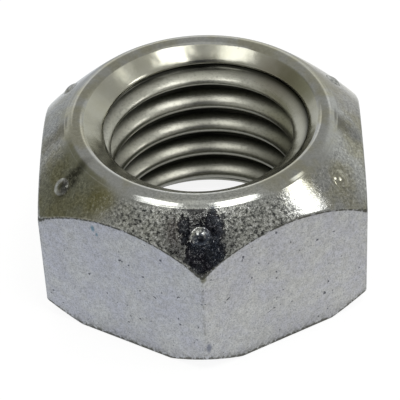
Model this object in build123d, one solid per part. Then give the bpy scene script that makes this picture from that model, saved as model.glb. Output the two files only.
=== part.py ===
from build123d import *
import math
import os

# All-metal top-lock hexagon nut, forged and tapped in one piece, zinc plated.
# Millimetres. The bearing face lies on z = 0, the bore runs along +Z, and
# one corner of the hexagon points along -Y.

# ---------------------------------------------------------------- sizes
across_flats = 23.8125        # 15/16 in spanner size
height = 13.25                # bearing face to the top of the crown

# thread: 5/8 in, 11 to the inch
thread_size = 15.875          # nominal diameter
pitch = 25.4 / 11
bore_diameter = 14.0          # crests, the plain bore before tapping
root_clearance = 0.0625       # groove's bottom, beyond the nominal radius
left_hand = True              # the turns climb clockwise, seen from the crown
groove_over_back = 9.85       # height of the groove's middle at the +Y corner

# outside of the body
corner_chamfer = 1.35         # how far the chamfer cuts in under the six corners
chamfer_angle = 45.0          # of that chamfer, from the bearing face
corner_radius = 0.35          # round along the six upright edges
rim_radius = 0.4              # round along the six arcs between flat and cone

# dome, the part of a ball that the hexagon runs up into
dome_radius = 17.75

# crown, the raised ring round the mouth
mouth_diameter = 17.9         # sharp edge of the countersink inside the crown
mouth_angle = 31.0            # fall of that countersink, from level
mouth_round = 0.25            # round of that edge
crown_width = 0.65            # level top of the crown, before it is rounded
crown_round = 0.8             # round of its outer edge
crown_foot_diameter = 20.3    # where its side runs out into the dome
crown_rise = 0.76             # how far it stands above that foot

# underside
relief_diameter = 16.6        # mouth of the countersink in the bearing face
relief_angle = 45.0

# lock: the crown is squeezed in at opposite sides, a flat pressed at each
crimp_count = 2
crimp_depth = 0.2             # below the unpressed dome
crimp_outset = 0.15           # deepest point, outside the foot of the crown

# grade dots: one raised on the dome at every corner
dot_inset = 2.17              # centre of each dot, in from the sharp corner
dot_diameter = 1.45
dot_height = 0.18

# ---------------------------------------------------------------- derived
flat = across_flats / 2
corner = flat / math.cos(math.pi / 6)
bearing = corner - corner_chamfer
bore = bore_diameter / 2
relief_depth = (relief_diameter / 2 - bore) * math.tan(math.radians(relief_angle))
mouth = mouth_diameter / 2
mouth_bottom = height - (mouth - bore) * math.tan(math.radians(mouth_angle))
foot = crown_foot_diameter / 2
dome_centre = height - crown_rise - math.sqrt(dome_radius ** 2 - foot ** 2)


def dome_height(radius):
    return dome_centre + math.sqrt(dome_radius ** 2 - radius ** 2)


def on_dome(radius, depth=0.0):
    """Plane laid along the dome at a radius on +X, sunk by a depth."""
    fall = math.asin(radius / dome_radius)
    outward = Vector(math.sin(fall), 0, math.cos(fall))
    origin = Vector(0, 0, dome_centre) + outward * (dome_radius - depth)
    return Plane(origin=origin, x_dir=(0, 1, 0), z_dir=outward)


# ---------------------------------------------------------------- body
turning_stock = 0.6
outer = corner + turning_stock
middle = (outer + foot) / 2
chamfer_top = (outer - bearing) * math.tan(math.radians(chamfer_angle))

with BuildPart() as nut:
    # turned blank
    with BuildSketch(Plane.XZ):
        with BuildLine():
            ThreePointArc((outer, dome_height(outer)), (middle, dome_height(middle)), (foot, dome_height(foot)))
            Polyline(
                (foot, dome_height(foot)), (mouth + crown_width, height), (mouth, height),
                (bore, mouth_bottom), (bore, relief_depth), (relief_diameter / 2, 0),
                (bearing, 0), (outer, chamfer_top), (outer, dome_height(outer)))
        section = make_face()
        inner, outside = section.vertices().group_by(Axis.Y)[-1].sort_by(Axis.X)
        fillet(inner, radius=mouth_round)
        fillet(outside, radius=crown_round)
    revolve(axis=Axis.Z)

    # hexagon, with one corner on -Y
    with BuildSketch(Plane.XY):
        hexagon = RegularPolygon(radius=flat, side_count=6, major_radius=False, rotation=30)
        fillet(hexagon.vertices(), radius=corner_radius)
    extrude(amount=height + 1, mode=Mode.INTERSECT)

    # arcs where the flats meet the dome
    rims = nut.edges().filter_by(
        lambda e: e.bounding_box().min.Z > dome_height(corner) - corner_radius
        and e.bounding_box().max.Z < dome_height(flat) + rim_radius)
    fillet(rims, radius=rim_radius)

    # crimps: flats laid along the dome and sunk into it, the first one on +X
    with BuildPart(mode=Mode.PRIVATE) as crimp:
        with Locations(on_dome(foot + crimp_outset, crimp_depth)):
            Box(flat, flat, 2 * crown_rise, align=(Align.CENTER, Align.CENTER, Align.MIN))
    with PolarLocations(0, crimp_count):
        add(crimp.part, mode=Mode.SUBTRACT)

    # grade dots: caps of small balls
    ball = (dot_diameter ** 2 / 4 + dot_height ** 2) / (2 * dot_height)
    with PolarLocations(0, 6, start_angle=30):
        with Locations(on_dome(corner - dot_inset, ball - dot_height)):
            Sphere(ball)

# ---------------------------------------------------------------- thread
# A tap: a plain core with one 60 degree ridge wound round it, whose sides
# lie half a pitch apart at the pitch diameter. It starts below the bearing
# face and ends above the crown, so the groove runs out in both countersinks.
# In a bore too small for the thread, the core grows to where the turns of the
# ridge all but meet, and the crests are cut away down to it.
flank = math.tan(math.radians(30))
pitch_radius = thread_size / 2 - 0.32476 * pitch
root = thread_size / 2 + root_clearance
overlap = 0.4
apart = 0.02 * pitch
turns_meet = pitch_radius - (pitch / 4 - apart / 2) / flank
ridge_foot = max(bore - overlap, turns_meet)
core_radius = max(bore, turns_meet + overlap / 4)
run_out = 1.3


def ridge_half(radius):
    """Half the width of the ridge at a radius."""
    return pitch / 4 - (radius - pitch_radius) * flank


wind = Helix(
    pitch=pitch, height=height + 2 * run_out, radius=bore, center=(0, 0, -run_out), lefthand=left_hand)
with BuildSketch(Plane(origin=wind @ 0, x_dir=(1, 0, 0), z_dir=(0, -1, 0))) as ridge_section:
    with BuildLine():
        Polyline(
            (ridge_foot - bore, -ridge_half(ridge_foot)), (root - bore, -ridge_half(root)),
            (root - bore, ridge_half(root)), (ridge_foot - bore, ridge_half(ridge_foot)), close=True)
    make_face()
ridge = sweep(ridge_section.sketch, path=wind, is_frenet=True)
core = Cylinder(core_radius, height + 4 * run_out).moved(Location((0, 0, height / 2)))
hand = -1 if left_hand else 1
turned = 90 - hand * 360 * (groove_over_back + run_out) / pitch
lock_nut = nut.part - (core + ridge).rotate(Axis.Z, turned)

lock_nut.label = "lock_nut"
os.makedirs("parts", exist_ok=True)
export_step(lock_nut, "parts/lock_nut.step")
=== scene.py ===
import bmesh
import bpy
import numpy as np
from mathutils import Matrix, Vector


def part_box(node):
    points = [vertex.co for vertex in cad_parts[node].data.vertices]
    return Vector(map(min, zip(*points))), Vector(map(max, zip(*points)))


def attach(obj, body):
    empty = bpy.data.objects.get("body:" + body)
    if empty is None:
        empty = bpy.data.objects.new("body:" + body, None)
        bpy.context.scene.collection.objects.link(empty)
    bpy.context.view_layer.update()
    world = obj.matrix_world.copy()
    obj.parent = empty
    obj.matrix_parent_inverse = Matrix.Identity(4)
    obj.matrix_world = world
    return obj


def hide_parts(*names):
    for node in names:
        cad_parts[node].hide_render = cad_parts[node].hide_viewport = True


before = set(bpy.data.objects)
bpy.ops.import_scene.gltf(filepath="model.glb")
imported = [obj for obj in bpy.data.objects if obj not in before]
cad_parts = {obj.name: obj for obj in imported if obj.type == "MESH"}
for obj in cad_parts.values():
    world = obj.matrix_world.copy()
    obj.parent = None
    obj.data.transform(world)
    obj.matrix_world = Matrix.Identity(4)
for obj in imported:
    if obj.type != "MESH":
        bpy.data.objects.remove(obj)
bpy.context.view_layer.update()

# ---------------------------------------------------------------- lock nut
# An all-metal lock nut of zinc plated steel. It is forged to a hexagon with a
# domed top, bored, countersunk and tapped, and its crown is then squeezed from
# two sides, so that the last turns of the thread grip the bolt.
mm = 0.001
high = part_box("lock_nut")[1]
flat = high.x                              # axis to a flat
corner_round = 0.35 * mm
corner_centre = (flat - corner_round) / np.cos(np.pi / 6)   # of that round, from the axis

pitch = 25.4 / 11 * mm
crest = 6.65 * mm                          # radius of the thread's crests
root = 8.0 * mm
groove_over_back = 9.75 * mm               # height of the groove's middle at the +Y corner
root_flat = 0.11 * mm                      # half its width
crowded_above = 10.2 * mm                  # the squeeze crowds the turns over this height,
crowded_most = 12 * mm                     # the most from this height up,
crowding = 0.6 * mm                        # where it lowers them by this much
relief = 8.3 * mm                          # countersink in the bearing face, 45 degrees

bearing = 12.4 * mm                        # radius left by the chamfer under the corners
lower_edge = 0.12 * mm                     # broken edge round the bearing face
rim = 0.4 * mm                             # round along the arcs over the flats
rim_at_corner = 9.156 * mm                 # heights where the dome would cut the corners
rim_at_flat = 11.093 * mm                  # and the middles of the flats
dome = 34 * mm                             # radius of the dome's curve, seen from the side
foot = 10.15 * mm                          # crown's side runs out into the dome here
side_lean = np.radians(36)                 # fall of the crown's side, which ends in
foot_step = 0.04 * mm                      # a step this wide
crown_edge = 9.7 * mm                      # outer edge of the crown's level top
crown_height = 13.05 * mm
crown_round = 0.85 * mm
mouth = 8.9 * mm                           # inner edge of the crown
mouth_round = 0.7 * mm
mouth_lean = np.radians(38)
mouth_bottom = crown_height - (mouth - crest) * np.tan(mouth_lean)

dot_at = corner_centre + corner_round - 2.03 * mm
dot_radius = 0.64 * mm
dot_height = 0.19 * mm
squeeze = 0.012                            # share of the radius lost at the sides
tilt = 0.011                               # slope of the crown's top, up towards the back
squeezed_above = 9.5 * mm


def column_angles():
    """Angles once round, counted from the front corner. They lie 0.3 degrees apart within
    3.6 degrees of a corner and about 1.2 degrees apart over the flats."""
    beside_corner = np.arange(-3.6, 3.59, 0.3)
    over_flat = np.linspace(3.6, 56.4, 43, endpoint=False)
    one_sixth = np.concatenate([beside_corner, over_flat])
    starts = np.arange(6)[:, None] * 60.0 - 90.0
    return np.radians((starts + one_sixth).ravel())


def off_corner(angle):
    """Angle to the nearest corner of the hexagon."""
    return np.abs(np.mod(angle, np.pi / 3) - np.pi / 6)


def hexagon_radius(angle):
    """Distance from the axis to the hexagon at an angle: the flat's distance over the cosine
    of the angle from its middle, and near a corner the far side of the corner's round."""
    from_flat = np.mod(angle + np.pi / 6, np.pi / 3) - np.pi / 6
    from_corner = off_corner(angle)
    straight = flat / np.cos(from_flat)
    inside = corner_round ** 2 - (corner_centre * np.sin(from_corner)) ** 2
    rounded = corner_centre * np.cos(from_corner) + np.sqrt(np.maximum(inside, 0))
    tangent = np.arctan2(corner_round / 2, corner_centre + corner_round * np.cos(np.pi / 6))
    return np.where(from_corner < tangent, rounded, straight)


def bend(a, b, c, count):
    """Points of a curve that leaves a towards b and arrives at c from b, by the usual weights
    (1-t)^2, 2t(1-t) and t^2."""
    t = np.linspace(0, 1, count)[:, None, None]
    return (1 - t) ** 2 * a + 2 * t * (1 - t) * b + t ** 2 * c


def run(a, c, shares):
    """Points between a and c at the given shares of the way."""
    t = np.asarray(shares)[:, None, None]
    return (1 - t) * a + t * c


def point(r, z, angle):
    """One point of the section for every column, as radius and height."""
    return np.stack([r + 0 * angle, z + 0 * angle], axis=-1)


def dome_centre():
    """Centre, as radius and height, of the dome's curve: it stands off the middle of the chord
    from the corner's point to the flat's, square to it, by the root of dome^2 - (chord / 2)^2."""
    low_end = np.array([corner_centre + corner_round, rim_at_corner])
    high_end = np.array([flat, rim_at_flat])
    chord = high_end - low_end
    square = np.array([-chord[1], chord[0]]) / np.linalg.norm(chord)
    return (low_end + high_end) / 2 + square * np.sqrt(dome ** 2 - chord @ chord / 4)


centre_r, centre_z = dome_centre()


def dome_height(r):
    """Height of the dome at a radius, from the circle's equation."""
    return centre_z + np.sqrt(dome ** 2 - (r - centre_r) ** 2)


def dome_fall(r):
    """How far the dome's surface leans down from level at a radius."""
    return np.arcsin((r - centre_r) / dome)


def smooth_max(a, b, width):
    """The greater of two lengths, with the crease between them rounded over a width."""
    return 0.5 * (a + b + np.sqrt((a - b) ** 2 + width ** 2))


def hexagon_pieces(angle):
    """Pieces of the section from the relief's edge over the bearing face, chamfer and flat to
    the rim, and the radius where the dome starts: straight runs and rounds between them. The
    rim's round grows towards the worn corners as e to minus the square of the angle."""
    r_hex = hexagon_radius(angle)
    level = point(1, 0, angle)
    upright = point(0, 1, angle)
    chamfer = np.maximum(r_hex - bearing, lower_edge)
    chamfer_foot = point(r_hex - chamfer, 0, angle)
    chamfer_top = point(r_hex, chamfer, angle)
    broken = (chamfer_top - chamfer_foot) / 4 * np.minimum(1, 0.3 * mm / chamfer)[:, None]
    bearing_end = chamfer_foot - level * 0.1 * mm
    flat_start = chamfer_top + upright * 0.1 * mm
    fall = dome_fall(r_hex)
    worn = 1 + 1.5 * np.exp(-(np.degrees(off_corner(angle)) / 3.5) ** 2)
    reach = rim * worn * np.tan((np.pi / 2 - fall) / 2)
    arc = point(r_hex, dome_height(r_hex), angle)
    flat_end = arc - upright * reach[:, None]
    r_dome = r_hex - reach * np.cos(fall)
    dome_start = point(r_dome, dome_height(r_dome), angle)
    return [
        run(point(relief, 0, angle), bearing_end, [0, 0.02, 0.5, 0.97]),
        bend(bearing_end, chamfer_foot, chamfer_foot + broken, 4),
        bend(chamfer_top - broken, chamfer_top, flat_start, 4),
        run(flat_start, flat_end, [0.015, 0.1, 0.25, 0.4, 0.55, 0.7, 0.85, 0.94, 0.985]),
        bend(flat_end, arc, dome_start, 8),
    ], r_dome


def unit(vector):
    """The vector made one long."""
    return vector / np.linalg.norm(vector, axis=-1, keepdims=True)


def crown_pieces(angle):
    """Pieces of the section from the dome's end up the crown's side, round its edge, over its
    level top and round the mouth into the countersink."""
    r_side = foot - foot_step
    level = point(1, 0, angle)
    dome_end = point(foot, dome_height(foot), angle)
    side_foot = point(r_side, crown_height - (r_side - crown_edge) * np.tan(side_lean), angle)
    crown_corner = point(crown_edge, crown_height, angle)
    mouth_corner = point(mouth, crown_height, angle)
    outward = unit(side_foot - crown_corner)
    inward = unit(point(crest, mouth_bottom, angle) - mouth_corner)
    back = crown_round * np.tan(np.arccos(outward[0, 0]) / 2)
    lip = mouth_round * np.tan(mouth_lean / 2)
    side_start = side_foot - outward * 0.06 * mm
    side_end = crown_corner + outward * back
    top_start = crown_corner - level * back
    top_end = mouth_corner + level * lip
    return [
        run(dome_end, side_foot, [0, 0.5]),
        bend(side_foot, side_foot - outward * 0.02 * mm, side_start, 3),
        run(side_start, side_end, [0.3, 0.7]),
        bend(side_end, crown_corner, top_start, 8),
        run(top_start, top_end, [0.25, 0.5, 0.75]),
        bend(top_end, mouth_corner, mouth_corner + inward * lip, 5),
    ]


def outside_section(angle):
    """Section of the whole outside for every column, and the row that each piece starts at.
    The dome's rows go by shares of the way from rim to crown and lie closest at the dots."""
    lower, r_start = hexagon_pieces(angle)
    shares = np.concatenate([
        [0.02], np.linspace(0.06, 0.36, 8), np.linspace(0.38, 0.74, 26), np.linspace(0.78, 0.97, 6)])
    r_dome = (1 - shares[:, None]) * r_start + shares[:, None] * foot
    pieces = lower + [np.stack([r_dome, dome_height(r_dome)], axis=-1)] + crown_pieces(angle)
    starts = np.cumsum([0] + [len(piece) for piece in pieces])
    return np.concatenate(pieces), starts


angle = column_angles()
outside, piece_starts = outside_section(angle)
mouth_r, mouth_z = outside[-1, 0]
chamfer_row = piece_starts[2] + 2          # in the round between chamfer and flat
rim_row = piece_starts[4] + 4              # in the round between flat and dome
crown_row = piece_starts[6] - 2            # on the dome, beside the crown


def thread_radius(turns):
    """Radius of the thread at a height counted in turns from the groove's middle: flat crests,
    30 degree flanks and a narrow root, each crease a little rounded."""
    away = np.abs(turns - np.round(turns)) * pitch
    flank = root - (away - root_flat) / np.tan(np.radians(30))
    groove = -smooth_max(-flank, -root, 0.12 * mm)
    return smooth_max(groove, crest, 0.45 * mm)


def bore_section(angle):
    """Rows that climb with the left-hand thread, from the relief's edge to the mouth. A height
    is the groove's height at that angle plus a share of the pitch, held between the two ends;
    the radius there is the greatest of thread, relief and countersink. With them come how
    deep in the groove each point lies, from 0 to 1, and the number of rows in a turn."""
    away = np.array([0, 0.12, 0.25, 0.42, 0.6, 0.72, 0.80, 0.86, 0.93, 1.05]) * mm / pitch
    one_turn = np.sort(np.concatenate([-away[1:], away, [0.5]]))
    turns = (np.arange(-6, 4)[:, None] + one_turn).ravel()
    climb = -(angle - np.pi / 2) / (2 * np.pi)
    z = np.clip(groove_over_back + (turns[:, None] + climb) * pitch, 0, mouth_z)
    lowered = crowding * np.clip((z - crowded_above) / (crowded_most - crowded_above), 0, 1)
    thread = thread_radius((z + lowered - groove_over_back) / pitch - climb)
    countersink = crest + (z - mouth_bottom) / np.tan(mouth_lean)
    soft = 0.28 * mm * np.clip((mouth_z - z) / (0.9 * mm), 0.001, 1)
    r = np.maximum(smooth_max(thread, countersink, soft), relief - z)
    r = np.where(z <= 0, relief, r)
    r = np.where(z >= mouth_z, mouth_r, r)
    walls = np.maximum(np.maximum(crest, countersink), relief - z)
    groove = np.clip((r - walls) / np.maximum(root - walls, 0.2 * mm), 0, 1)
    return np.stack([r, z], axis=-1), groove, len(one_turn)


bore, groove_share, rows_a_turn = bore_section(angle)


def on_axis_frame(section):
    """Points in space of a section's radius and height at the column angles."""
    r, z = section[..., 0], section[..., 1]
    return np.stack([r * np.cos(angle), r * np.sin(angle), z], axis=-1)


def raise_dots(points):
    """Pushes the dome out in six round dots, one at each corner: a dot's height falls to its
    edge as the cosine to the power 0.8, and the ring pressed round it falls off as e to
    minus the square of the distance."""
    fall = dome_fall(dot_at)
    raised = np.zeros(points.shape[:-1])
    for k in range(6):
        a = np.radians(-90 + 60 * k)
        out = np.array([np.cos(a) * np.sin(fall), np.sin(a) * np.sin(fall), np.cos(fall)])
        centre = np.array([np.cos(a) * dot_at, np.sin(a) * dot_at, dome_height(dot_at)])
        away = np.linalg.norm(points - centre, axis=-1) / dot_radius
        bump = dot_height * np.cos(np.clip(away, 0, 1) * np.pi / 2) ** 0.8
        ring = 0.02 * mm * np.exp(-((away - 1.14) / 0.14) ** 2)
        points = points + out * (bump - ring)[..., None]
        raised += np.clip(bump / (0.4 * dot_height), 0, 1)
    return points, raised


def squeeze_crown(points):
    """Draws the crown in along X and out along Y by the same share, and tips its top a little.
    The push grows with height from nothing, as 3t^2 - 2t^3."""
    t = np.clip((points[..., 2] - squeezed_above) / (crown_height - squeezed_above), 0, 1)
    push = t * t * (3 - 2 * t)
    x, y, z = points[..., 0], points[..., 1], points[..., 2]
    return np.stack([x * (1 - squeeze * push), y * (1 + squeeze * push), z + tilt * y * push], axis=-1)


shell, raised_share = raise_dots(on_axis_frame(outside))
shell = squeeze_crown(shell)
hole = squeeze_crown(on_axis_frame(bore))
columns = len(angle)


def grid_faces(first, rows, shift=0):
    """Quads of a grid of rows by columns that closes on itself, as indices from first. The last
    column meets the first one shift rows further down."""
    row, column = np.meshgrid(np.arange(rows - 1), np.arange(columns), indexing="ij")
    following = (column + 1) % columns
    drop = np.where(following == 0, shift, 0)
    a = row * columns + column
    b = (row - drop) * columns + following
    quads = np.stack([a, b, b + columns, a + columns], axis=-1).reshape(-1, 4)
    kept = (row - drop >= 0).ravel()
    return first + quads[kept], row.ravel()[kept]


# Outside and bore are one closed skin, merged where they meet at the mouth and the relief.
shell_faces, shell_rows = grid_faces(0, len(shell))
hole_faces = grid_faces(shell.size // 3, len(hole), rows_a_turn)[0][:, ::-1]
points = np.concatenate([shell.reshape(-1, 3), hole.reshape(-1, 3)])
faces = np.concatenate([shell_faces, hole_faces])
mesh = bpy.data.meshes.new("lock_nut_body")
mesh.from_pydata(points.tolist(), [], faces.tolist())
mesh.polygons.foreach_set("use_smooth", np.ones(len(faces), bool))
kinds = np.concatenate([np.where(shell_rows < rim_row, 0, 1), np.full(len(hole_faces), 2)])
mesh.polygons.foreach_set("material_index", kinds.astype(np.int32))

# What the finishes and the painted shade follow: how near a point lies to a worn edge or to the
# crease at the crown's foot, where shade is painted, each edge's share falling off as e to minus
# the square of the distance, how far up a dot, and how deep in the groove, where shade is painted.
rows = np.arange(len(outside))[:, None]
from_corner = np.degrees(off_corner(angle))
at_rim = 1.2 * np.exp(-((rows - rim_row + 1) / 1.5) ** 2) + 0 * angle
at_chamfer = 1.3 * np.exp(-((rows - chamfer_row) / 2) ** 2) + 0 * angle
# at_crown paints shade: a dark line in the crease at the crown's foot
at_crown = 0.35 * np.exp(-((rows - crown_row) / 1.5) ** 2) + 0 * angle
at_corner = 0.42 * np.exp(-(from_corner / 0.8) ** 2) * ((rows >= chamfer_row) & (rows < rim_row))
edge_share = np.max([at_rim, at_chamfer, at_crown, at_corner], axis=0)
on_shell, on_hole = np.zeros(shell.size // 3), np.zeros(hole.size // 3)
for name, shares in (
        ("edge", (edge_share.ravel(), on_hole)),
        ("dot", (raised_share.ravel(), on_hole)),
        ("groove", (on_shell, groove_share.ravel()))):
    attribute = mesh.attributes.new(name, "FLOAT", "POINT")
    attribute.data.foreach_set("value", np.concatenate(shares))
body = bpy.data.objects.new("lock_nut_body", mesh)
bpy.context.scene.collection.objects.link(body)
work = bmesh.new()
work.from_mesh(mesh)
bmesh.ops.remove_doubles(work, verts=work.verts, dist=1e-7)
bmesh.ops.recalc_face_normals(work, faces=work.faces)
work.to_mesh(mesh)
work.free()


def linear(text):
    """Linear colour of an sRGB hex value such as #b4b7bd."""
    shown = np.array([int(text[i:i + 2], 16) for i in (1, 3, 5)]) / 255
    value = np.where(shown <= 0.04045, shown / 12.92, ((shown + 0.055) / 1.055) ** 2.4)
    return (*value.tolist(), 1.0)


def add(tree, kind, inputs=None, **settings):
    """Adds one node with its settings. inputs gives sockets a value or another node's output."""
    made = tree.nodes.new(kind)
    for name, value in settings.items():
        setattr(made, name, value)
    for socket, value in (inputs or {}).items():
        if isinstance(value, bpy.types.NodeSocket):
            tree.links.new(value, made.inputs[socket])
        else:
            made.inputs[socket].default_value = value
    return made


def ramp(tree, value, low_end, high_end, reach=(0, 1)):
    """Takes a value from one range smoothly onto another, held at its ends."""
    node = add(tree, "ShaderNodeMapRange", {
        "Value": value, "From Min": low_end, "From Max": high_end, "To Min": reach[0], "To Max": reach[1]},
        interpolation_type="SMOOTHSTEP")
    return node.outputs["Result"]


def noise(tree, where, size, detail=3, rough=0.55, squashed=(1, 1, 1)):
    """Noise whose lumps are about a size across, in metres, and less along a squashed axis."""
    where = add(tree, "ShaderNodeVectorMath", {0: where, 1: squashed}, operation="MULTIPLY").outputs[0]
    node = add(tree, "ShaderNodeTexNoise", {
        "Vector": where, "Scale": 1 / size, "Detail": detail, "Roughness": rough})
    return node.outputs["Fac"]


def mix(tree, share, first, second):
    """Colour between two others, by a share that may come from a node."""
    return add(tree, "ShaderNodeMix", {0: share, 6: first, 7: second}, data_type="RGBA").outputs[2]


def times(tree, a, b):
    """Product of two values, either of which may come from a node."""
    return add(tree, "ShaderNodeMath", {0: a, 1: b}, operation="MULTIPLY").outputs[0]


def weigh(tree, value, weight, other):
    """One value times a weight, plus another."""
    return add(tree, "ShaderNodeMath", {0: value, 1: weight, 2: other}, operation="MULTIPLY_ADD").outputs[0]


def metal(name):
    """New metal material, with its node tree, shader and the place on the nut in metres."""
    material = bpy.data.materials.new(name)
    material.use_nodes = True
    tree = material.node_tree
    shader = tree.nodes["Principled BSDF"]
    shader.inputs["Metallic"].default_value = 1
    where = add(tree, "ShaderNodeTexCoord").outputs["Object"]
    return material, tree, shader, where


def mark(tree, where, centre, half, turned=(0, 0, 0)):
    """One in the middle of an egg-shaped mark and nothing outside it. Its centre and half
    sizes are in millimetres, and it is turned by so many degrees about X, Y and Z."""
    place = add(tree, "ShaderNodeMapping", {
        "Vector": where, "Location": np.array(centre) * mm, "Rotation": np.radians(turned),
        "Scale": np.array(half) * mm}, vector_type="TEXTURE")
    away = add(tree, "ShaderNodeVectorMath", {0: place.outputs[0]}, operation="LENGTH")
    return ramp(tree, away.outputs["Value"], 1.0, 0.3)


def edge_lines_and_crease_shade(tree, where, colour, line_and_shade_colour):
    """Colour with a thin broken dark line along the edges of the flats and the crown, which in the crease
    at the crown's foot is painted shade.
    """
    edge = add(tree, "ShaderNodeAttribute", attribute_name="edge").outputs["Fac"]
    broken = ramp(tree, noise(tree, where, 0.3 * mm, 4, 0.7), 0.3, 0.58)
    share = ramp(tree, times(tree, edge, broken), 0.2, 0.7, (0.0, 0.85))
    return mix(tree, share, colour, line_and_shade_colour)


def zinc_flats():
    """Satin zinc plate on the forged flats: cool grey with a fine grain, faint clouds, dark
    pin pits, one scratch, a few stains and a thin dark line along the edges. Real grain is finer,
    and is drawn as coarse as it needs to show."""
    material, tree, shader, where = metal("zinc_plate_satin")
    clouds = noise(tree, where, 2.2 * mm, 5, 0.65)
    tint = noise(tree, where, 0.4 * mm, 3, 0.6)
    grain = noise(tree, where, 0.12 * mm, 2, 0.8)
    pits = ramp(tree, noise(tree, where, 0.34 * mm, 1, 0.3), 0.74, 0.77)
    colour = mix(tree, ramp(tree, clouds, 0.35, 0.65), linear("#bdbec6"), linear("#c6c7c6"))
    colour = mix(tree, ramp(tree, tint, 0.3, 0.7, (0.0, 0.5)), colour, linear("#b3b2b0"))
    colour = mix(tree, ramp(tree, grain, 0.42, 0.72, (0.0, 0.75)), colour, linear("#85888e"))
    colour = mix(tree, times(tree, pits, 0.8), colour, linear("#3c3e47"))
    for centre, half, turned, share, mark_colour in (
            ((-7.72, -9.29, 10.2), (0.22, 0.5, 0.4), (0, 0, -30), 0.7, "#3f7487"),      # blue spots
            ((-7.45, -9.45, 9.75), (0.15, 0.5, 0.25), (0, 0, -30), 0.6, "#3f7487"),
            ((0.25, -13.6, 2.3), (0.28, 0.5, 0.6), (0, 0, 0), 0.6, "#4b536e"),          # knocks on the
            ((0.1, -13.65, 8.9), (0.35, 0.4, 0.35), (0, 0, 0), 0.7, "#6b6a52"),         # front corner
            ((4.66, -11.05, 3.4), (0.42, 0.3, 0.045), (0, -20, 30), 0.9, "#55575a"),    # scratch
            ((5.0, -10.85, 3.55), (0.1, 0.3, 0.16), (0, -60, 30), 0.8, "#55575a")):
        at = mark(tree, where, centre, half, turned)
        colour = mix(tree, times(tree, at, share), colour, linear(mark_colour))
    colour = edge_lines_and_crease_shade(tree, where, colour, linear("#4c4b40"))
    tree.links.new(colour, shader.inputs["Base Color"])
    tree.links.new(ramp(tree, tint, 0.3, 0.7, (0.38, 0.5)), shader.inputs["Roughness"])
    bump = add(tree, "ShaderNodeBump", {"Height": grain, "Strength": 0.6, "Distance": 0.012 * mm})
    tree.links.new(bump.outputs["Normal"], shader.inputs["Normal"])
    return material


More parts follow.
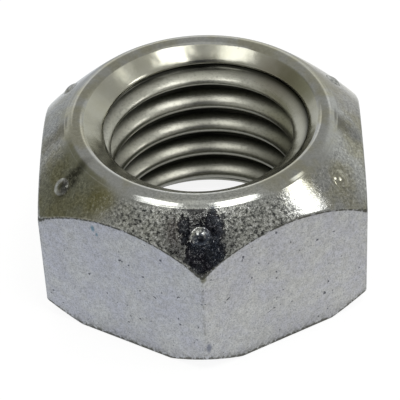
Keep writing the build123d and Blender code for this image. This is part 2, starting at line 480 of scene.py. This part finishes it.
def zinc_dome():
    """Shinier plate on the dome and crown, tumbled and handled: olive grey, mottled and
    specked on the dome, smoother on the crown, a little uneven in its reflections, greyer and
    rougher round the front corner, with a blue-black painted reflection of the camera and the
    dark room round that corner's dot, a dark streak past the left dot that is a painted
    reflection too, a thin dark line along the rim and corners, and painted shade in the crease
    at the crown's foot. Its specks are drawn coarser than real ones, so that they show."""
    material, tree, shader, where = metal("zinc_plate_bright")
    patches = noise(tree, where, 2.4 * mm, 3)
    mottle = noise(tree, where, 0.6 * mm, 4, 0.7)
    speck = noise(tree, where, 0.22 * mm, 4, 0.85)
    flat_place = add(tree, "ShaderNodeVectorMath", {0: where, 1: (1, 1, 0)}, operation="MULTIPLY")
    radius = add(tree, "ShaderNodeVectorMath", {0: flat_place.outputs[0]}, operation="LENGTH")
    beyond_foot = ramp(tree, radius.outputs["Value"], foot, foot + 0.5 * mm, (0.25, 1.0))
    handled = mark(tree, where, (0.5, -12, 11), (10, 7, 5))
    # a painted dark reflection of the camera and the dark room round the front dot: four marks that
    # overlap, frayed by the noise
    painted_reflection = 0.0
    for centre, half, share in (
            ((0.3, -12.5, 10.3), (2.1, 2.2, 2.4), 1.5),
            ((0.95, -11.3, 11.6), (1.3, 2.4, 2.4), 1.05),
            ((-1.15, -11.3, 11.7), (0.8, 2.2, 2.2), 0.85),
            ((0.1, -11.2, 11.8), (2.4, 1.6, 1.6), 0.45)):
        at = times(tree, mark(tree, where, centre, half), share)
        painted_reflection = add(tree, "ShaderNodeMath", {0: painted_reflection, 1: at}, operation="MAXIMUM").outputs[0]
    uneven = weigh(tree, speck, 1.6, weigh(tree, mottle, 2.2, painted_reflection))
    painted_reflection_share = times(tree, ramp(tree, uneven, 2.35, 2.9), ramp(tree, painted_reflection, 0.0, 0.5))
    roughened = times(
        tree, ramp(tree, handled, 0.0, 0.6, (0.4, 1.0)), ramp(tree, painted_reflection_share, 0, 1, (1.0, 0.8)))
    dots = add(tree, "ShaderNodeAttribute", attribute_name="dot").outputs["Fac"]
    on_dome = times(tree, times(tree, beyond_foot, roughened), ramp(tree, dots, 0, 1, (1.0, 0.85)))
    colour = mix(tree, ramp(tree, patches, 0.38, 0.62), linear("#b0ae9c"), linear("#b9bab6"))
    colour = mix(tree, ramp(tree, handled, 0.0, 0.6, (0.0, 0.7)), colour, linear("#cfd1cc"))
    # The last mark, a dark streak from the crown down past the left dot, is a painted dark reflection.
    for centre, half, turned, share, mark_colour in (
            ((-7.1, -8.4, 11.9), (2.0, 1.4, 1.6), (0, 0, 0), 0.75, "#908a4e"),          # olive
            ((-1.9, -11.4, 11.5), (0.8, 1.4, 1.2), (0, 0, 0), 0.55, "#6e5654"),         # brown
            ((-9.15, -5.75, 11.8), (2.7, 0.9, 2.3), (0, 0, -147), 0.9, "#3a3a34")):     # dark streak
        at = mark(tree, where, centre, half, turned)
        at = times(tree, at, ramp(tree, mottle, 0.35, 0.55, (0.5, 1.0)))
        colour = mix(tree, times(tree, at, share), colour, linear(mark_colour))
    # the painted reflection is blue-black, laid over the plate's colour
    black = mix(tree, ramp(tree, patches, 0.42, 0.55), linear("#1f1b36"), linear("#122b46"))
    colour = mix(tree, times(tree, painted_reflection_share, 0.88), colour, black)
    dull = times(tree, ramp(tree, mottle, 0.45, 0.62, (0.0, 0.5)), on_dome)
    colour = mix(tree, dull, colour, linear("#7c7d79"))
    dark = times(tree, ramp(tree, speck, 0.51, 0.57, (0.0, 0.95)), on_dome)
    colour = mix(tree, dark, colour, linear("#2a2c2e"))
    bare = times(tree, ramp(tree, speck, 0.44, 0.38, (0.0, 0.95)), on_dome)
    colour = mix(tree, bare, colour, linear("#fcfcfa"))
    # thin dark line along the rim and corners, and painted shade in the crease at the crown's foot
    colour = edge_lines_and_crease_shade(tree, where, colour, linear("#4a4939"))
    tree.links.new(colour, shader.inputs["Base Color"])
    tree.links.new(ramp(tree, mottle, 0.3, 0.7, (0.07, 0.13)), shader.inputs["Roughness"])
    rise = times(tree, weigh(tree, speck, 1.5, mottle), on_dome)
    bump = add(tree, "ShaderNodeBump", {
        "Height": times(tree, rise, ramp(tree, painted_reflection, 0, 1, (1.0, 2.6))),
        "Strength": 1.0, "Distance": 0.007 * mm})
    tree.links.new(bump.outputs["Normal"], shader.inputs["Normal"])
    return material


def zinc_thread():
    """Plate on the tapped thread and its countersink: the countersink smooth and bright with
    faint waves in its reflections, the turns lighter than it as painted light, streaked and duller
    down the bore, the countersink darker and browner at the back right, and the grooves darkened
    with painted shade."""
    material, tree, shader, where = metal("zinc_plate_thread")
    clouds = noise(tree, where, 1.5 * mm, 3)
    streaks = noise(tree, where, 0.25 * mm, 3, 0.6, (1, 1, 2))
    z = add(tree, "ShaderNodeSeparateXYZ", {0: where}).outputs["Z"]
    in_bore = ramp(tree, z, mouth_bottom + 0.4 * mm, mouth_bottom - 0.2 * mm)
    groove = add(tree, "ShaderNodeAttribute", attribute_name="groove").outputs["Fac"]
    colour = mix(tree, clouds, linear("#b8b6a2"), linear("#c8c8be"))
    # painted light: the turns inside the bore are made lighter than the countersink
    colour = mix(tree, times(tree, in_bore, 0.5), colour, linear("#dadacf"))
    streaked = times(tree, ramp(tree, streaks, 0.45, 0.7, (0.0, 0.35)), in_bore)
    colour = mix(tree, streaked, colour, linear("#77766b"))
    colour = mix(tree, ramp(tree, z, 10.5 * mm, 5 * mm, (0.0, 0.3)), colour, linear("#77776a"))
    # darker and browner towards the back right of the countersink
    darker_back_right = mark(tree, where, (6, 5.5, 12.2), (3, 3.5, 2))
    colour = mix(tree, times(tree, darker_back_right, 0.4), colour, linear("#766a58"))
    # painted shade darkens the grooves by their depth
    painted_groove_shade = times(tree, ramp(tree, groove, 0.3, 1.0), 0.95)
    colour = mix(tree, painted_groove_shade, colour, linear("#14160f"))
    tree.links.new(colour, shader.inputs["Base Color"])
    tree.links.new(ramp(tree, in_bore, 0.0, 1.0, (0.2, 0.3)), shader.inputs["Roughness"])
    waves = noise(tree, where, 2.4 * mm, 2)
    rise = weigh(tree, waves, 9, times(tree, streaks, in_bore))
    bump = add(tree, "ShaderNodeBump", {"Height": rise, "Strength": 0.6, "Distance": 0.01 * mm})
    tree.links.new(bump.outputs["Normal"], shader.inputs["Normal"])
    return material


for material in (zinc_flats(), zinc_dome(), zinc_thread()):
    mesh.materials.append(material)
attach(body, "root")
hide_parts("lock_nut")

# ---------------------------------------------------------------- camera
# A long lens above the front corner, looking down into the bore from about six
# of the nut's widths away, and rolled by three degrees.
camera = bpy.data.cameras.new("camera")
camera.sensor_width = 36
camera.lens = 178.9
camera.clip_start, camera.clip_end = 0.01, 10
eye = bpy.data.objects.new("camera", camera)
bpy.context.scene.collection.objects.link(eye)
bpy.context.scene.camera = eye
azimuth, elevation, roll = np.radians([2.254, 39.738, -3.083])
width = 2 * flat
right = Vector((np.cos(azimuth), np.sin(azimuth), 0))
level_back = Vector((np.sin(azimuth), -np.cos(azimuth), 0))
back = level_back * np.cos(elevation) + Vector((0, 0, np.sin(elevation)))
up = back.cross(right)
aim = right * (-0.0156 * width) + Vector((0, 0, 0.2023 * width))
turned_right = right * np.cos(roll) + up * np.sin(roll)
turned_up = up * np.cos(roll) - right * np.sin(roll)
place = Matrix((turned_right, turned_up, back)).transposed().to_4x4()
place.translation = aim + back * (6.3424 * width)
eye.matrix_world = place

# ---------------------------------------------------------------- light
# A small table studio: a pale sheet under and behind the nut, a dark room on
# the camera's side, two small lamps high at left and right and a large one at
# the right.
def direction(turn, rise):
    """Unit vector towards a turn, counted from the camera's side towards +X, and a height
    above level, both in degrees."""
    turn, rise = np.radians([turn, rise])
    return Vector((np.sin(turn) * np.cos(rise), -np.cos(turn) * np.cos(rise), np.sin(rise)))


world = bpy.data.worlds.new("studio")
bpy.context.scene.world = world
world.use_nodes = True
tree = world.node_tree
tree.nodes.clear()
ray = add(tree, "ShaderNodeTexCoord").outputs["Generated"]
room = (0.42, 0.42, 0.41, 1)
for turn, rise, reach, soft, colour in (
        (0, 86, 18, 6, (0.62, 0.62, 0.6, 1)),          # ceiling
        (-160, -5, 32, 10, (0.7, 0.71, 0.72, 1)),      # pale backdrop, left
        (150, -5, 42, 10, (0.7, 0.71, 0.7, 1)),        # and right
        (180, 10, 14, 6, (1, 1, 1, 1)),                # its bright middle
        (97, 46, 3, 2, (2, 2, 1.9, 1)),                # a small high window
        (162, 27, 7, 3, (0.95, 0.95, 0.95, 1)),        # the backdrop's bright top, right
        (-162, 27, 7, 3, (0.95, 0.95, 0.95, 1)),       # and left
        (-108, 24, 20, 10, (0.22, 0.22, 0.165, 1)),    # olive wall, left
        (-60, 44, 14, 8, (0.37, 0.37, 0.35, 1)),       # and its upper part
        (0, 18, 20, 6, (0.07, 0.07, 0.075, 1)),        # dark room round the camera
        (-6, 50, 15, 4, (0.07, 0.068, 0.075, 1)),      # and over it
        (1, 45, 9, 3, (0.004, 0.007, 0.016, 1)),       # the camera itself
        (138, 8, 5, 3, (0.3, 0.3, 0.3, 1)),            # ends of the backdrop
        (-138, 4, 5, 3, (0.3, 0.3, 0.3, 1))):
    toward = add(tree, "ShaderNodeVectorMath", {0: ray, 1: direction(turn, rise)}, operation="DOT_PRODUCT")
    outer, inner = np.cos(np.radians([reach + soft, reach - soft]))
    share = ramp(tree, toward.outputs["Value"], outer, inner)
    room = mix(tree, share, room, colour)
path = add(tree, "ShaderNodeLightPath")
around = add(tree, "ShaderNodeBackground", {"Color": room, "Strength": 1.0})
white = add(tree, "ShaderNodeBackground", {"Color": (1, 1, 1, 1), "Strength": 1.0})
mixed = add(tree, "ShaderNodeMixShader", {
    0: path.outputs["Is Camera Ray"], 1: around.outputs[0], 2: white.outputs[0]})
add(tree, "ShaderNodeOutputWorld", {"Surface": mixed.outputs[0]})

for name, turn, rise, across, tall, radiance in (
        ("right_high", 42, 67, 19, 14, 3.0), ("left_high", -54, 63, 20, 13, 2.0),
        ("right_large", 81, 38, 12, 12, 3.6)):
    lamp = bpy.data.lights.new(name, "AREA")
    lamp.shape = "RECTANGLE"
    away = 0.3
    lamp.size, lamp.size_y = 2 * away * np.tan(np.radians([across, tall]) / 2)
    lamp.energy = radiance * np.pi * lamp.size * lamp.size_y
    lamp_object = bpy.data.objects.new(name, lamp)
    bpy.context.scene.collection.objects.link(lamp_object)
    lamp_object.location = direction(turn, rise) * away + Vector((0, 0, high.z / 2))
    lamp_object.rotation_mode = "QUATERNION"
    lamp_object.rotation_quaternion = direction(turn, rise).to_track_quat("Z", "Y")

# The sheet of white paper. What the camera sees of it is white, but for a faint
# share that keeps the nut's shadow. What the metal sees of it glows, with a painted
# shade round the nut, dimmer further out and brighter towards +X as painted light.
# From below it is clear, so that the bearing face shows, and it lies a hair under
# that face.
floor_mesh = bpy.data.meshes.new("floor")
reach, below = 2, -0.02 * mm
corners = [(-reach, -reach, below), (reach, -reach, below), (reach, reach, below), (-reach, reach, below)]
floor_mesh.from_pydata(corners, [], [(0, 1, 2, 3)])
floor = bpy.data.objects.new("floor", floor_mesh)
bpy.context.scene.collection.objects.link(floor)
paper = bpy.data.materials.new("white_paper")
paper.use_nodes = True
tree = paper.node_tree
tree.nodes.clear()
path = add(tree, "ShaderNodeLightPath")
plain = add(tree, "ShaderNodeBsdfDiffuse", {"Color": (0.8, 0.8, 0.8, 1)})
faint = add(tree, "ShaderNodeBsdfDiffuse", {"Color": (0.3, 0.3, 0.3, 1)})
glow = add(tree, "ShaderNodeEmission", {"Color": (1, 1, 1, 1), "Strength": 0.87})
shown = add(tree, "ShaderNodeAddShader", {0: faint.outputs[0], 1: glow.outputs[0]})
sheet = add(tree, "ShaderNodeTexCoord").outputs["Object"]
from_nut = add(tree, "ShaderNodeVectorMath", {0: sheet}, operation="LENGTH").outputs["Value"]
across = add(tree, "ShaderNodeSeparateXYZ", {0: sheet}).outputs["X"]
# painted shade round the nut and painted light towards +X, in what the metal sees of the sheet
near = ramp(tree, from_nut, 9 * mm, 15 * mm, (0.45, 0.93))
far = ramp(tree, from_nut, 22 * mm, 45 * mm, (1.0, 0.6))
side = ramp(tree, across, -15 * mm, 15 * mm)
tone = mix(tree, side, (0.89, 0.92, 0.96, 1), (1, 1, 0.98, 1))
mirror = add(tree, "ShaderNodeEmission", {"Color": tone, "Strength": times(tree, near, far)})
mirrored = add(tree, "ShaderNodeMixShader", {
    0: path.outputs["Is Glossy Ray"], 1: plain.outputs[0], 2: mirror.outputs[0]})
mixed = add(tree, "ShaderNodeMixShader", {
    0: path.outputs["Is Camera Ray"], 1: mirrored.outputs[0], 2: shown.outputs[0]})
seen_from_below = add(tree, "ShaderNodeNewGeometry").outputs["Backfacing"]
clear = add(tree, "ShaderNodeBsdfTransparent")
surface = add(tree, "ShaderNodeMixShader", {0: seen_from_below, 1: mixed.outputs[0], 2: clear.outputs[0]})
add(tree, "ShaderNodeOutputMaterial", {"Surface": surface.outputs[0]})
floor_mesh.materials.append(paper)

bpy.context.scene.view_settings.view_transform = "Standard"
